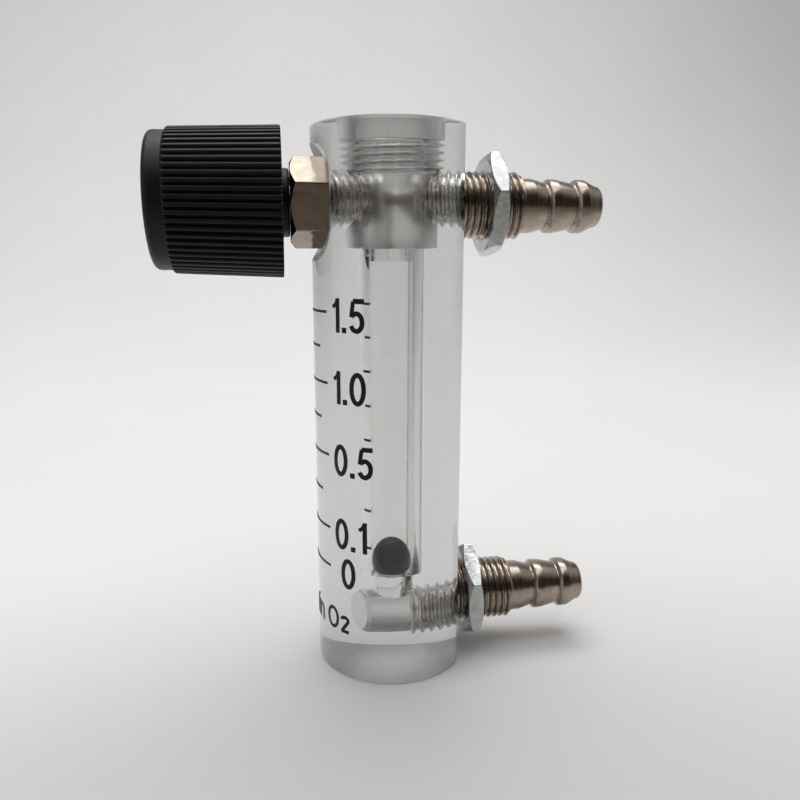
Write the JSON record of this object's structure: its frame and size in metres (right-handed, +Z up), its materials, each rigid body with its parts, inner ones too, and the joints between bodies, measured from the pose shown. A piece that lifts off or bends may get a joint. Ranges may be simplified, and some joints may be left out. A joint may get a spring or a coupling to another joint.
{
  "type": "variable-area flow meter",
  "caption": "Clear acrylic variable-area flow meter with a float ball, a needle valve with ribbed knob, and barbed hose fittings with lock nuts.",
  "frame": {"origin": "centre of the round body's flat base, on the float bore's axis", "axes": "+Z up the float bore, +X towards the hose fittings, so the knob is at -X"},
  "size_m": [0.0671, 0.024, 0.083],
  "materials": {
    "clear_acrylic": "clear, polished outside, machined inside",
    "black_ball": "glossy black",
    "ink": "printed black ink",
    "plated_brass": "nickel plated, turned",
    "zinc_plated": "bright zinc plate, handled",
    "brass": "turned brass",
    "black_rubber": "black nitrile rubber",
    "knob_plastic": "satin black moulded plastic",
    "steel": "bright steel"
  },
  "bodies": {
    "meter": {"meter_body": "clear_acrylic", "head_plug": "clear_acrylic", "float_stop": "clear_acrylic", "scale_marks": "ink", "valve_body": "plated_brass", "valve_body_seal": "black_rubber", "outlet_fitting": "plated_brass", "outlet_seal_ring": "black_rubber", "inlet_fitting": "plated_brass", "inlet_seal_ring": "black_rubber"},
    "float": {"float_ball": "black_ball"},
    "stem_ring": {"stem_o_ring": "black_rubber"},
    "valve_spindle": {"valve_stem": "brass", "knob": "knob_plastic", "knob_insert": "brass", "knob_end_cap": "knob_plastic", "knob_screw": "steel", "knob_washer": "steel"},
    "outlet_nut": {"outlet_lock_nut": "zinc_plated"},
    "inlet_nut": {"inlet_lock_nut": "zinc_plated"}
  },
  "joints": [
    {"name": "float_rise", "type": "slide", "parent": "meter", "child": "float", "axis": [0, 0, 1], "range_m": [0, 0.0425]},
    {"name": "stem_travel", "type": "slide", "parent": "meter", "child": "stem_ring", "axis": [-1, 0, 0], "range_m": [0, 0.0015]},
    {"name": "knob_turn", "type": "hinge", "parent": "stem_ring", "child": "valve_spindle", "pos_m": [-0.02, 0, 0.0722], "axis": [-1, 0, 0], "range_deg": [0, 1080]},
    {"name": "outlet_nut_travel", "type": "slide", "parent": "meter", "child": "outlet_nut", "axis": [1, 0, 0], "range_m": [-0.004, 0.003]},
    {"name": "inlet_nut_travel", "type": "slide", "parent": "meter", "child": "inlet_nut", "axis": [1, 0, 0], "range_m": [-0.002, 0.005]}
  ],
  "couplings": [
    {"joint": "stem_travel", "follows": "knob_turn", "m_per_rad": 0.000079577}
  ]
}
